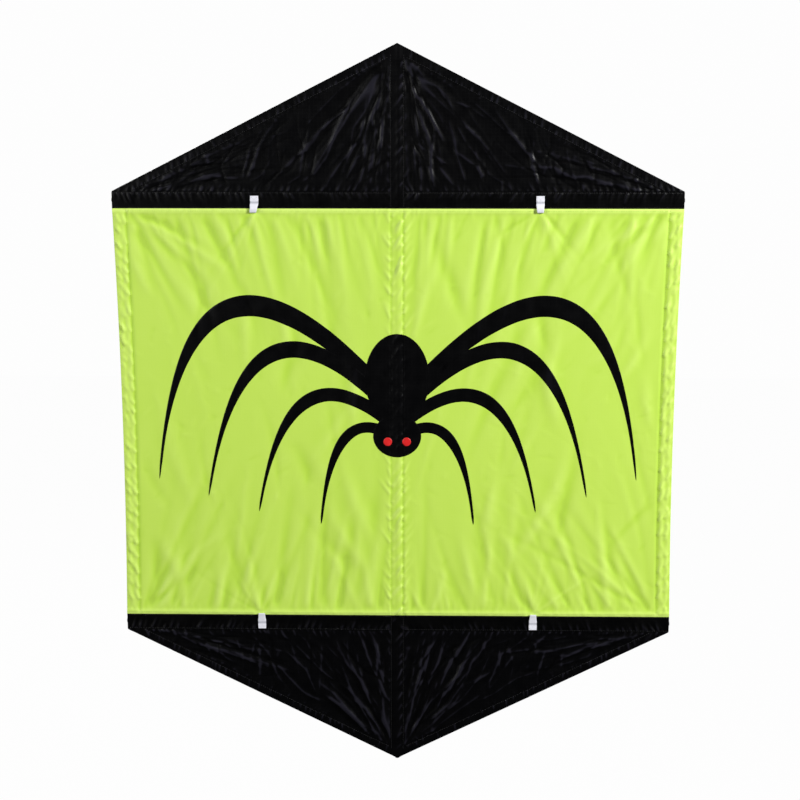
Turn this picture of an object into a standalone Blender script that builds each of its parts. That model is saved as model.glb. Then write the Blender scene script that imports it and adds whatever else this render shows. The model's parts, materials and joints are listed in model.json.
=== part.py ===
"""A flat six-sided rokkaku kite, upright: its front faces -Y, its nose is at +Z, and left is -X.

The origin is on the sail's front face, in the middle of the four bridle loops. Units are metres.
"""

import math

import bmesh
import bpy
from mathutils import Matrix, Vector

# Sail
HEIGHT = 1.000
WIDTH = 0.764
SEAM_HEIGHT = 0.285  # each horizontal seam's distance from the middle
TIP_EDGE = 0.0223  # the short upright edge outside each spreader's end
SIDE_DIP = 0.004  # how far the long sides curve inwards
SIDE_STEPS = 12
CLOTH = 0.0003
GAP = 0.0003
SIDE_HEM = 0.020
SLANT_HEM = 0.012

# Spars
SPINE_RADIUS = 0.0025
SPREADER_RADIUS = 0.0020
FIT = 0.00025  # room around a rod in its bore
SPINE_DEPTH = 0.0050  # the spine's distance behind the sail's front face
CROSSING_DEPTH = 0.0108  # the spreaders' at the middle, where they pass behind the spine
TIP_DEPTH = 0.0049  # and at the tips
ROUND = 24

# Sleeves and pockets
SPINE_SLEEVE = 0.020
SPINE_SLEEVE_BORE = 0.0039
SPREADER_SLEEVE_BORE = 0.0025
SEWN_EDGE = 0.003  # the least flat cloth beside a sleeve's arch
ARCH_FOOT = 0.0035  # how far an arch spreads past its bore
SPREADER_SLEEVE_START = 0.040
SPREADER_SLEEVE_END = 0.366
POCKET_WIDTH = 0.024
POCKET_BORE = 0.0041
POCKET_START = 0.448
POCKET_END = 0.490
POCKET_CLEAR = 0.003  # between a pocket and the sleeve next to it
NOSE_CAP_INSET = 0.0115  # the nose's cap ends this far inside the sail's point

# Fittings
FERRULE_LENGTH = 0.060
FERRULE_WALL = 0.00075
CAP_LENGTH = 0.014
CAP_END = 0.004  # the solid end past the rod
CAP_RADIUS = 0.0034
SPINE_CAP_RADIUS = 0.0036
CAP_PROUD = 0.0015  # how far a cap reaches past the sail
CROSS_SIZE = Vector((0.014, 0.0146, 0.026))
CROSS_EDGE = 0.0012  # its rounded edges
CROSS_WINDOW = 0.006  # between a cross and the spine's sleeve
SOCKET_RADIUS = 0.0039
SOCKET_END = 0.032
SOCKET_FLOOR = 0.004

# Bridle loops
TAPE_WIDTH = 0.011
TAPE = 0.0007
TAB_HEIGHT = 0.010
TAB_SPREAD = WIDTH / 4
UPPER_TAB_TOP = 0.017  # above the upper seam
LOWER_TAB_BOTTOM = 0.020  # below the lower seam
LOOP_LENGTH = 0.0115
LOOP_ROOT = 0.0009
LOOP_EYE = 0.0017
LOOP_DEPTH = -0.0012
HINGE_GAP = 0.0013

EDGE_SLOPE = (HEIGHT / 2 - SEAM_HEIGHT - TIP_EDGE) / (WIDTH / 2)
SPREADER_HEIGHT = SEAM_HEIGHT + TIP_EDGE / 2
SPREADER_SLOPE = (CROSSING_DEPTH - TIP_DEPTH) / (WIDTH / 2)
SAIL = 0.0
HEM = SAIL + CLOTH + GAP
OVER_HEM = HEM + CLOTH + GAP

for old in list(bpy.data.objects):
    bpy.data.objects.remove(old, do_unlink=True)

parts = bpy.data.collections.new("rokkaku_kite")
cutters = bpy.data.collections.new("cutters")
bpy.context.scene.collection.children.link(parts)
bpy.context.scene.collection.children.link(cutters)
cutters.hide_render = True


def look(name, colour, roughness, metallic=0.0):
    material = bpy.data.materials.new(name)
    material.use_nodes = True
    shader = material.node_tree.nodes["Principled BSDF"]
    shader.inputs["Base Color"].default_value = (*colour, 1.0)
    shader.inputs["Roughness"].default_value = roughness
    shader.inputs["Metallic"].default_value = metallic
    return material


BLACK_RIPSTOP = look("black_ripstop", (0.008, 0.008, 0.010), 0.55)
LIME_RIPSTOP = look("lime_ripstop", (0.48, 0.76, 0.10), 0.55)
FIBREGLASS = look("fibreglass", (0.10, 0.10, 0.10), 0.35)
VINYL = look("vinyl", (0.012, 0.012, 0.013), 0.45)
NYLON = look("moulded_nylon", (0.02, 0.02, 0.022), 0.50)
ALUMINIUM = look("aluminium", (0.75, 0.76, 0.78), 0.30, 1.0)
WHITE_TAPE = look("white_tape", (0.85, 0.85, 0.88), 0.80)


def place(name, data, material):
    piece = bpy.data.objects.new(name, data)
    if material:
        data.materials.append(material)
    parts.objects.link(piece)
    return piece


def as_cutter(piece):
    parts.objects.unlink(piece)
    cutters.objects.link(piece)
    piece.hide_render = True
    piece.display_type = "WIRE"
    return piece


def outlines(name, loops, thickness):
    curve = bpy.data.curves.new(name, "CURVE")
    curve.dimensions = "2D"
    curve.fill_mode = "BOTH"
    curve.extrude = thickness / 2
    for loop in loops:
        spline = curve.splines.new("POLY")
        spline.points.add(len(loop) - 1)
        for point, (across, up) in zip(spline.points, loop):
            point.co = (across, up, 0, 1)
        spline.use_cyclic_u = True
    return curve


def flat_piece(name, outline, front, material, thickness=CLOTH):
    """A flat sheet in the plane of the sail, from its outline in X and Z."""
    piece = place(name, outlines(name, [outline], thickness), material)
    piece.rotation_euler = (math.radians(90), 0, 0)
    piece.location = (0, front + thickness / 2, 0)
    return piece


def cylinder(name, start, end, radius, material=None):
    """A rod whose origin is at its start, on its own axis."""
    along = end - start
    shape = bmesh.new()
    lift = Matrix.Translation((0, 0, along.length / 2))
    bmesh.ops.create_cone(
        shape, cap_ends=True, segments=ROUND, radius1=radius, radius2=radius, depth=along.length, matrix=lift
    )
    mesh = bpy.data.meshes.new(name)
    shape.to_mesh(mesh)
    shape.free()
    mesh.shade_smooth()
    mesh.set_sharp_from_angle(angle=math.radians(40))
    piece = place(name, mesh, material)
    piece.location = start
    piece.rotation_mode = "QUATERNION"
    piece.rotation_quaternion = along.to_track_quat("Z", "Y")
    return piece


def turned(name, profile, closed, start, along, material):
    """A turned piece: its profile of radius and height goes round the axis that runs along."""
    mesh = bpy.data.meshes.new(name)
    edges = [(i, i + 1) for i in range(len(profile) - 1)]
    if closed:
        edges.append((len(profile) - 1, 0))
    mesh.from_pydata([(radius, 0, height) for radius, height in profile], edges, [])
    piece = place(name, mesh, material)
    screw = piece.modifiers.new("turn", "SCREW")
    screw.steps = ROUND
    screw.render_steps = ROUND
    screw.use_merge_vertices = True
    screw.merge_threshold = 0.00005
    screw.use_smooth_shade = True
    piece.location = start
    piece.rotation_mode = "QUATERNION"
    piece.rotation_quaternion = along.to_track_quat("Z", "Y")
    return piece


def end_cap(name, tip, outward, radius, rod_radius):
    """A soft cap pushed over a rod's end. Its closed end is at tip."""
    bore = rod_radius + FIT
    floor = CAP_LENGTH - CAP_END
    corner = radius * 0.4
    profile = [(0, CAP_LENGTH)]
    for step in range(5):
        angle = math.radians(90 - 22.5 * step)
        across = radius - corner + corner * math.cos(angle)
        profile.append((across, CAP_LENGTH - corner + corner * math.sin(angle)))
    profile += [(radius, 0), (bore, 0), (bore, floor), (0, floor)]
    return turned(name, profile, False, tip - outward * CAP_LENGTH, outward, VINYL)


def sleeve(name, ends, base, width, bore, material, shut=False):
    """A strip of cloth sewn to the sail along both edges and arched over a rod.

    Each of the two ends is a point on the rod's axis. base is the depth of the sewn edges.
    """
    start, end = ends
    out = Vector((0, 1, 0))
    along = (end - start).normalized()
    across = out.cross(along).normalized()
    shape = bmesh.new()
    rings = []
    for centre in ends:
        foot = min(width / 2 - SEWN_EDGE, bore + ARCH_FOOT)
        points = [(-width / 2, base), (-foot, base)]
        for step in range(9):
            angle = math.radians(180 - 22.5 * step)
            points.append((bore * math.cos(angle), centre.y + bore * math.sin(angle)))
        points += [(foot, base), (width / 2, base)]
        ring = []
        for side, depth in points:
            spot = centre + across * side
            ring.append(shape.verts.new((spot.x, depth, spot.z)))
        rings.append(ring)
    first, last = rings
    for i in range(len(first) - 1):
        shape.faces.new((first[i], last[i], last[i + 1], first[i + 1]))
    if shut:
        shape.faces.new(list(reversed(last[1:-1])))
    mesh = bpy.data.meshes.new(name)
    shape.to_mesh(mesh)
    shape.free()
    piece = place(name, mesh, material)
    wall = piece.modifiers.new("cloth", "SOLIDIFY")
    wall.thickness = CLOTH
    wall.offset = 1.0
    wall.use_even_offset = True
    return piece


def side_edge(height):
    """Half the sail's width at a height on the middle panel."""
    return WIDTH / 2 - SIDE_DIP * (1 - (height / SEAM_HEIGHT) ** 2)


def slant_edge(across):
    """The height of the nose's slanted edge at a distance from the middle."""
    return HEIGHT / 2 - EDGE_SLOPE * abs(across)


def spreader_point(side, level, distance):
    """A point on a spreader's axis: side is -1 or 1, level is 1 above and -1 below."""
    depth = CROSSING_DEPTH - SPREADER_SLOPE * distance
    return Vector((side * distance, depth, level * SPREADER_HEIGHT))


def flipped(outline, across, up):
    return [(across * x, up * z) for x, z in outline]


def panels():
    low = SEAM_HEIGHT + GAP / 2
    end = [
        (-WIDTH / 2, low),
        (WIDTH / 2, low),
        (WIDTH / 2, SEAM_HEIGHT + TIP_EDGE),
        (0, HEIGHT / 2),
        (-WIDTH / 2, SEAM_HEIGHT + TIP_EDGE),
    ]
    flat_piece("top_panel", end, SAIL, BLACK_RIPSTOP)
    flat_piece("bottom_panel", flipped(end, 1, -1), SAIL, BLACK_RIPSTOP)
    top = SEAM_HEIGHT - GAP / 2
    heights = [-top + 2 * top * i / SIDE_STEPS for i in range(SIDE_STEPS + 1)]
    right = [(side_edge(z), z) for z in heights]
    left = [(-side_edge(z), z) for z in reversed(heights)]
    flat_piece("middle_panel", right + left, SAIL, LIME_RIPSTOP)
    hem = right + [(side_edge(z) - SIDE_HEM, z) for z in reversed(heights)]
    flat_piece("side_hem_right", hem, HEM, LIME_RIPSTOP)
    flat_piece("side_hem_left", flipped(hem, -1, 1), HEM, LIME_RIPSTOP)


def slanted_hems():
    drop = SLANT_HEM * math.sqrt(1 + EDGE_SLOPE**2)
    end = SEAM_HEIGHT + TIP_EDGE + GAP
    middle = GAP / 2
    hem = [
        (middle, slant_edge(middle)),
        ((HEIGHT / 2 - end) / EDGE_SLOPE, end),
        ((HEIGHT / 2 - drop - end) / EDGE_SLOPE, end),
        (middle, slant_edge(middle) - drop),
    ]
    for name, level in (("nose", 1), ("tail", -1)):
        for side, word in ((-1, "left"), (1, "right")):
            flat_piece(f"{name}_hem_{word}", flipped(hem, side, level), HEM, BLACK_RIPSTOP)


def spine():
    nose = HEIGHT / 2 - NOSE_CAP_INSET
    tail = -(HEIGHT / 2 + CAP_PROUD)
    up = Vector((0, 0, 1))

    def at(height):
        return Vector((0, SPINE_DEPTH, height))

    rod_top = nose - CAP_END - GAP
    rod_bottom = tail + CAP_END + GAP
    cylinder("spine_rod_upper", at(GAP), at(rod_top), SPINE_RADIUS, FIBREGLASS)
    cylinder("spine_rod_lower", at(-GAP), at(rod_bottom), SPINE_RADIUS, FIBREGLASS)
    end_cap("spine_cap_nose", at(nose), up, SPINE_CAP_RADIUS, SPINE_RADIUS)
    end_cap("spine_cap_tail", at(tail), -up, SPINE_CAP_RADIUS, SPINE_RADIUS)
    inner = SPINE_RADIUS + FIT
    outer = inner + FERRULE_WALL
    half = FERRULE_LENGTH / 2
    wall = [(outer, half), (outer, -half), (inner, -half), (inner, half)]
    turned("spine_ferrule", wall, True, at(0), up, ALUMINIUM)

    window = SPREADER_HEIGHT + CROSS_SIZE.z / 2 + CROSS_WINDOW
    inside = SPREADER_HEIGHT - CROSS_SIZE.z / 2 - CROSS_WINDOW
    stretches = {
        "spine_sleeve_top": (window, POCKET_START - POCKET_CLEAR),
        "spine_sleeve_middle": (-inside, inside),
        "spine_sleeve_bottom": (-POCKET_START + POCKET_CLEAR, -window),
    }
    for name, (low, high) in stretches.items():
        cloth = LIME_RIPSTOP if name.endswith("middle") else BLACK_RIPSTOP
        sleeve(name, (at(low), at(high)), OVER_HEM, SPINE_SLEEVE, SPINE_SLEEVE_BORE, cloth)
    nose_ends = (at(POCKET_START), at(POCKET_END))
    tail_ends = (at(-POCKET_START), at(-POCKET_END))
    sleeve("nose_pocket", nose_ends, OVER_HEM, POCKET_WIDTH, POCKET_BORE, BLACK_RIPSTOP, shut=True)
    sleeve("tail_pocket", tail_ends, OVER_HEM, POCKET_WIDTH, POCKET_BORE, BLACK_RIPSTOP)


def spreader_half(side, level):
    word = ("upper_" if level > 0 else "lower_") + ("right" if side > 0 else "left")
    outward = (spreader_point(side, level, 1.0) - spreader_point(side, level, 0.0)).normalized()
    tip = spreader_point(side, level, WIDTH / 2 + CAP_PROUD)
    rod_start = spreader_point(side, level, SOCKET_FLOOR + GAP)
    cylinder(f"spreader_rod_{word}", rod_start, tip - outward * (CAP_END + GAP), SPREADER_RADIUS, FIBREGLASS)
    end_cap(f"spreader_cap_{word}", tip, outward, CAP_RADIUS, SPREADER_RADIUS)
    ends = (
        spreader_point(side, level, SPREADER_SLEEVE_START),
        spreader_point(side, level, SPREADER_SLEEVE_END),
    )
    sleeve(f"spreader_sleeve_{word}", ends, HEM, TIP_EDGE - 2 * GAP, SPREADER_SLEEVE_BORE, BLACK_RIPSTOP)
    patch = [
        (SPREADER_SLEEVE_END + GAP, SEAM_HEIGHT + GAP),
        (WIDTH / 2, SEAM_HEIGHT + GAP),
        (WIDTH / 2, SEAM_HEIGHT + TIP_EDGE - GAP),
        (SPREADER_SLEEVE_END + GAP, SEAM_HEIGHT + TIP_EDGE - GAP),
    ]
    flat_piece(f"tip_patch_{word}", flipped(patch, side, level), HEM, BLACK_RIPSTOP)


def cross_connector(level):
    """The moulded cross where a pair of spreader halves plugs in behind the spine."""
    name = "cross_connector_" + ("upper" if level > 0 else "lower")
    shape = bmesh.new()
    bmesh.ops.create_cube(shape, size=1.0, matrix=Matrix.Diagonal((*CROSS_SIZE, 1)))
    bmesh.ops.bevel(
        shape, geom=shape.edges[:], offset=CROSS_EDGE, segments=2, profile=0.5, affect="EDGES", clamp_overlap=True
    )
    mesh = bpy.data.meshes.new(name)
    shape.to_mesh(mesh)
    shape.free()
    cross = place(name, mesh, NYLON)
    cross.location = (0, HEM + CROSS_SIZE.y / 2, level * SPREADER_HEIGHT)

    def combine(operation, other):
        step = cross.modifiers.new(other.name, "BOOLEAN")
        step.operation = operation
        step.object = as_cutter(other)

    for side, word in ((-1, "left"), (1, "right")):
        start = spreader_point(side, level, 0.001)
        end = spreader_point(side, level, SOCKET_END)
        combine("UNION", cylinder(f"{name}_socket_{word}", start, end, SOCKET_RADIUS))
    for side, word in ((-1, "left"), (1, "right")):
        start = spreader_point(side, level, SOCKET_FLOOR)
        end = spreader_point(side, level, SOCKET_END + 0.005)
        combine("DIFFERENCE", cylinder(f"{name}_bore_{word}", start, end, SPREADER_RADIUS + FIT))
    reach = CROSS_SIZE.z
    middle = Vector((0, SPINE_DEPTH, level * SPREADER_HEIGHT))
    low = middle - Vector((0, 0, reach))
    high = middle + Vector((0, 0, reach))
    combine("DIFFERENCE", cylinder(f"{name}_spine_bore", low, high, SPINE_RADIUS + FIT))
    return cross


def round_wedge(small, large, length, steps=10):
    """The outline round two circles on a line: a small one at 0 and a large one near length."""
    far = length - large
    lean = math.asin((large - small) / far)
    outline = []
    for step in range(steps + 1):
        angle = math.pi / 2 + lean + (math.pi - 2 * lean) * step / steps
        outline.append((small * math.cos(angle), small * math.sin(angle)))
    for step in range(steps + 1):
        angle = -math.pi / 2 - lean + (math.pi + 2 * lean) * step / steps
        outline.append((far + large * math.cos(angle), large * math.sin(angle)))
    return outline


def bridle_loop(side, level):
    """A folded tape: its two ends are sewn down as a tab, and its free fold is a loop."""
    word = ("upper_" if level > 0 else "lower_") + ("right" if side > 0 else "left")
    rise = UPPER_TAB_TOP if level > 0 else LOWER_TAB_BOTTOM
    outer_end = level * (SEAM_HEIGHT + rise)
    inner_end = outer_end - level * TAB_HEIGHT
    left = side * TAB_SPREAD - TAPE_WIDTH / 2
    right = left + TAPE_WIDTH
    low, high = sorted((outer_end, inner_end))
    tab = [(left, low), (right, low), (right, high), (left, high)]
    flat_piece(f"bridle_tab_{word}", tab, SAIL - GAP - 2 * TAPE, WHITE_TAPE, 2 * TAPE)

    lean = math.asin((LOOP_EYE + GAP + LOOP_DEPTH) / (LOOP_LENGTH - LOOP_EYE))
    away = Vector((0, -math.sin(lean), -level * math.cos(lean)))
    out = Vector((0, -math.cos(lean), level * math.sin(lean)))
    loops = [round_wedge(LOOP_ROOT, LOOP_EYE, LOOP_LENGTH)]
    eye = round_wedge(0.00025, LOOP_EYE - TAPE, LOOP_LENGTH - TAPE - 0.003)
    loops.append([(x + 0.003, y) for x, y in eye])
    name = f"bridle_loop_{word}"
    piece = place(name, outlines(name, loops, TAPE_WIDTH), WHITE_TAPE)
    facing = Matrix((away, out, away.cross(out))).transposed()
    hinge = Vector((side * TAB_SPREAD, LOOP_DEPTH, inner_end - level * HINGE_GAP))
    piece.matrix_world = Matrix.Translation(hinge) @ facing.to_4x4()
    return piece


panels()
slanted_hems()
spine()
for row in (1, -1):
    cross_connector(row)
    for hand in (-1, 1):
        spreader_half(hand, row)
        bridle_loop(hand, row)
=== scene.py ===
"""The looks of a flat six-sided rokkaku kite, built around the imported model.

The front faces -Y and the nose is at +Z. Lengths are in metres.
"""

import json
import math
from itertools import product

import bmesh
import bpy
import numpy as np
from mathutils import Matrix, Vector


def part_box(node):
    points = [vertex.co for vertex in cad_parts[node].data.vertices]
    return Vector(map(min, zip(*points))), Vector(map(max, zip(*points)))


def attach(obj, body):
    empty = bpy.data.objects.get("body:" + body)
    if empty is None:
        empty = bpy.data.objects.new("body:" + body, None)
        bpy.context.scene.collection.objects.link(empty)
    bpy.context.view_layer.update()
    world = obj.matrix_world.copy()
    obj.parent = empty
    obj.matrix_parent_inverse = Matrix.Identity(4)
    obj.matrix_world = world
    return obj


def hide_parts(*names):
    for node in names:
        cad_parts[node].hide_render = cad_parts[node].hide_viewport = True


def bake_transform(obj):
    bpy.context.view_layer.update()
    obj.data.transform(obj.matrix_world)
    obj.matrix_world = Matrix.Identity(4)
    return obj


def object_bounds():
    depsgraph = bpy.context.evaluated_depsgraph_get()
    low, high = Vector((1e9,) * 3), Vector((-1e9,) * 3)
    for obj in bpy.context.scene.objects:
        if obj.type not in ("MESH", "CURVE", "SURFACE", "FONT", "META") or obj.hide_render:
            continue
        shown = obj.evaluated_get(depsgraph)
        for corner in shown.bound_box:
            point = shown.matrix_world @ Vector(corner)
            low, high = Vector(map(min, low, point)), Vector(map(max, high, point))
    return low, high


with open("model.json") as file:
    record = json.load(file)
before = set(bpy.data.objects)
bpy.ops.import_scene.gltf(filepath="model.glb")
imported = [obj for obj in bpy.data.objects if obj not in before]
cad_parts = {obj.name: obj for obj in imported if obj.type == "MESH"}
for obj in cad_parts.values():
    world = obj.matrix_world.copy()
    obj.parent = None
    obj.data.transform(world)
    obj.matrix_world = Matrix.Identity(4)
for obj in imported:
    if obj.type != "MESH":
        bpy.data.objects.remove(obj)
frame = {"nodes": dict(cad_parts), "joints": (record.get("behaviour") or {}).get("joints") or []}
cad_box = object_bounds()

ROOT = "sail_and_frame"
MM = 0.001
LEVELS = ((1, "upper"), (-1, "lower"))
SIDES = ((-1, "left"), (1, "right"))
BOTH = (-1, 1)

# ---- places, from the frame

middle_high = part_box("middle_panel")[1]
top_low, top_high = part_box("top_panel")
SEAM = (middle_high.z + top_low.z) / 2
HALF_WIDTH = top_high.x
NOSE = top_high.z
TIP_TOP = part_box("nose_hem_right")[0].z
EDGE_SLOPE = (NOSE - TIP_TOP) / HALF_WIDTH
EDGE_LENGTH = math.sqrt(1 + EDGE_SLOPE**2)
waist = min(abs(v.co.x) for v in frame["nodes"]["middle_panel"].data.vertices if abs(v.co.z) < 1 * MM)
SIDE_DIP = HALF_WIDTH - waist
SLEEVE_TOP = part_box("spreader_sleeve_upper_right")[1].z
SPINE_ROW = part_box("spine_sleeve_middle")[1].x - 1.5 * MM
SIDE_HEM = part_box("side_hem_right")[1].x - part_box("side_hem_right")[0].x - SIDE_DIP
SLANT_HEM = 12 * MM
TAB_X = (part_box("bridle_tab_upper_right")[0].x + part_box("bridle_tab_upper_right")[1].x) / 2
SHEET_Y = middle_high.y / 2
HEM_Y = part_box("side_hem_right")[0].y
OVER_HEM_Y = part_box("spine_sleeve_middle")[0].y


def side_edge(z):
    """Half the width at a height on the middle panel."""
    return HALF_WIDTH - SIDE_DIP * (1 - np.clip(np.abs(z) / SEAM, 0, 1) ** 2)


def slant_edge(x):
    """The height of the nose's slanted edge at a distance from the middle."""
    return NOSE - EDGE_SLOPE * np.abs(x)


def smooth(t):
    t = np.clip(t, 0.0, 1.0)
    return t * t * (3 - 2 * t)


def heading(angle):
    """The direction in X and Z at an angle from +X."""
    return np.array((math.cos(angle), math.sin(angle)))


# ---- the sail's relief

PITCH = 1.0 * MM
FIELD_X = np.arange(-HALF_WIDTH - 8 * MM, HALF_WIDTH + 8 * MM, PITCH)
FIELD_Z = np.arange(-NOSE - 8 * MM, NOSE + 8 * MM, PITCH)
GRID_X, GRID_Z = np.meshgrid(FIELD_X, FIELD_Z)


def blank():
    return np.zeros_like(GRID_X)


def fold(layer, start, end, width, height, bow=0.0, root=0.12, tail=1.0, power=2.0):
    """Adds one ridge to a layer, from start to end in X and Z. It rises over root and fades over tail.

    A power of 2 rounds the ridge over, and a lower power makes it a sharp crease.
    """
    start, end = np.array(start, float), np.array(end, float)
    run = end - start
    length = math.hypot(*run)
    reach = 2.6 * width + abs(bow)
    low, high = np.minimum(start, end) - reach, np.maximum(start, end) + reach
    i = slice(*np.searchsorted(FIELD_X, (low[0], high[0])))
    j = slice(*np.searchsorted(FIELD_Z, (low[1], high[1])))
    x, z = GRID_X[j, i] - start[0], GRID_Z[j, i] - start[1]
    along = (x * run[0] + z * run[1]) / length**2
    off = (x * run[1] - z * run[0]) / length - bow * 4 * along * (1 - along)
    shape = smooth(along / root) * smooth((1 - along) / tail)
    narrow = width * (0.55 + 0.45 * np.clip(along, 0, 1))
    layer[j, i] += height * shape * np.exp(-((np.abs(off) / narrow) ** power))


def from_lines():
    """The distance from each field point to the nearest stitched line."""
    x, z = np.abs(GRID_X), np.abs(GRID_Z)
    slanted = (slant_edge(x) - z) / EDGE_LENGTH - SLANT_HEM
    hems = np.where(z < SEAM, side_edge(z) - SIDE_HEM * 0.8 - x, slanted)
    seams = np.where(z < SEAM, SEAM - z, np.maximum(z - SLEEVE_TOP, 0))
    return np.clip(np.minimum(np.minimum(hems, seams), x - SPINE_ROW), 0, None)


def either(rng, low, high):
    """A size from low to high, up or down."""
    return rng.choice((-1, 1)) * rng.uniform(low, high)


def long_folds(rng):
    """The soft folds that run down the middle panel from its seams."""
    layer = blank()
    inner, outer = SPINE_ROW + 4 * MM, HALF_WIDTH - SIDE_HEM
    for side in (-1, 1):
        for level, count, strength in ((1, 58, 0.72), (-1, 50, 0.85)):
            for _ in range(count):
                place = rng.uniform(0, 1)
                x = inner + (outer - inner) * place
                length = rng.uniform(50, 300) * MM
                lean = math.radians(rng.normal(6 + 24 * place**2, 8))
                width = rng.uniform(3.2, 7.5) * MM * (0.6 + length / 0.3)
                height = either(rng, 0.09, 0.2) * strength * width
                start = (side * x, level * (SEAM - 1 * MM))
                end = (side * (x - length * math.sin(lean)), level * (SEAM - length * math.cos(lean)))
                fold(layer, start, end, width, height, bow=rng.normal(0, 2.5) * MM)
        for _ in range(34):
            x = rng.uniform(inner + 20 * MM, outer)
            z = rng.uniform(-0.8, 0.9) * SEAM
            length = rng.uniform(80, 300) * MM
            lean = math.radians(rng.normal(8, 16))
            width = rng.uniform(6, 15) * MM
            height = either(rng, 0.08, 0.2) * width
            half = np.array((math.sin(lean) * side, math.cos(lean))) * length / 2
            middle = np.array((x * side, z))
            fold(layer, middle - half, middle + half, width, height, rng.normal(0, 8) * MM, 0.5)
    return layer


def corner_folds(rng):
    """The broad slanting folds that spread over the middle panel from its corners and bridle tabs."""
    layer = blank()
    corners = ((1, -1, 11, 1.0), (1, 1, 8, 0.6), (-1, -1, 7, 0.55), (-1, 1, 9, 0.8))
    for level, side, count, strength in corners:
        corner = np.array((side * (HALF_WIDTH - SIDE_HEM), level * SEAM))
        for k in range(count):
            angle = 0.5 + 0.95 * (k + rng.uniform(-0.25, 0.25)) / count
            way = heading(angle) * (-side, -level)
            start = corner + way * rng.uniform(4, 30) * MM
            width = rng.uniform(6.5, 11) * MM
            height = (1 if k % 2 else -1) * rng.uniform(0.1, 0.17) * strength * width
            end = start + way * rng.uniform(140, 380) * MM
            fold(layer, start, end, width, height, rng.normal(0, 9) * MM, 0.1)
        for _ in range(11):
            angle = rng.normal(math.pi / 2, 0.5)
            way = heading(angle) * (side, -level)
            start = np.array((side * TAB_X, level * (SEAM - 2 * MM)))
            width = rng.uniform(3, 6) * MM
            height = either(rng, 0.1, 0.2) * width
            end = start + way * rng.uniform(40, 170) * MM
            fold(layer, start, end, width, height, rng.normal(0, 4) * MM, 0.06)
    return layer


def crease(layer, rng, start, way, widths, slopes, lengths, kink=0.18, raised=False):
    """One long crease that changes direction in kinks, as stiff cloth does.

    Its width, height and length are random: each pair holds the least and the most.
    """
    width = rng.uniform(*widths) * MM
    height = (rng.uniform(*slopes) if raised else either(rng, *slopes)) * width
    length = rng.uniform(*lengths) * MM
    angle = math.atan2(way[1], way[0])
    spot, done = np.array(start, float), 0.0
    while done < length:
        stride = rng.uniform(14, 42) * MM
        tip = spot + heading(angle + rng.normal(0, kink)) * stride
        fade = 1 - 0.5 * done / length
        lap = (tip - spot) * 0.22
        fold(layer, spot - lap, tip + lap, width, height * fade, 0, 0.35, 0.35, 1.4)
        spot, done = tip, done + stride


def end_panel_creases(rng):
    """The creases of the black panels, which spread from the nose, the tail and the tips."""
    layer = blank()
    edge = math.atan(EDGE_SLOPE)
    for level, side in product((1, -1), BOTH):
        peak = np.array((0, level * NOSE))
        tip = np.array((side * HALF_WIDTH, level * (SEAM + 12 * MM)))
        for _ in range(30):
            angle = edge + 0.2 + (math.pi / 2 - edge - 0.3) * rng.beta(1.6, 1.4)
            way = heading(angle) * (side, -level)
            begin = peak + way * rng.uniform(10, 60) * MM
            width = rng.uniform(5, 12) * MM
            height = either(rng, 0.05, 0.12) * width
            end = begin + way * rng.uniform(90, 260) * MM
            fold(layer, begin, end, width, height, rng.normal(0, 4) * MM)
        for _ in range(40):
            angle = edge + 0.14 + (math.pi / 2 - edge - 0.2) * rng.beta(1.5, 1.2)
            way = heading(angle) * (side, -level)
            begin = peak + way * rng.uniform(8, 150) * MM
            crease(layer, rng, begin, way, (1.4, 3.4), (0.2, 0.42), (30, 120), raised=True)
        for _ in range(26):
            way = heading(rng.uniform(0.03, edge)) * (-side, level)
            begin = tip + way * rng.uniform(12, 120) * MM
            crease(layer, rng, begin, way, (1.6, 4), (0.14, 0.3), (40, 150))
        for _ in range(30):
            x = side * rng.uniform(15, 320) * MM
            z = level * (SLEEVE_TOP + rng.uniform(0, 40) * MM)
            way = heading(rng.uniform(0.85, 1.5)) * (-side, level)
            crease(layer, rng, (x, z), way, (1.5, 4), (0.16, 0.34), (25, 90), kink=0.3)
    return layer


def crinkles(rng, count=1500):
    """Short sharp creases all over, lying mostly up and down."""
    layer = blank()
    for _ in range(count):
        x, z = rng.uniform(-HALF_WIDTH, HALF_WIDTH), rng.uniform(-NOSE, NOSE)
        length = rng.uniform(10, 50) * MM
        lean = rng.normal(0.25 * np.sign(x) * np.sign(z), 0.6)
        width = rng.uniform(1.6, 4.0) * MM
        half = np.array((math.sin(lean), math.cos(lean))) * length / 2
        height = either(rng, 0.05, 0.13) * width
        fold(layer, (x, z) - half, (x, z) + half, width, height, rng.normal(0, 2) * MM, 0.5)
    return layer


def puckers(layer, rng, start, end, side, pitch, length, width, height, lean):
    """Short ridges that leave one side of a row of stitches, leaning along it. Their sizes are in mm."""
    pitch, length, width, height = (size * MM for size in (pitch, length, width, height))
    start, end = np.array(start, float), np.array(end, float)
    run = math.hypot(*(end - start))
    way = (end - start) / run
    out = np.array((way[1], -way[0])) * side
    place = rng.uniform(0, pitch)
    while place < run:
        foot = start + way * place
        angle = math.radians(rng.normal(lean, 7))
        reach = length * rng.uniform(0.5, 1.4)
        tip = foot + (out * math.cos(angle) + way * math.sin(angle)) * reach
        fold(layer, foot, tip, width * rng.uniform(0.75, 1.2), height * rng.uniform(0.45, 1.4), 0, 0.1)
        place += pitch * rng.uniform(0.6, 1.4)


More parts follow.
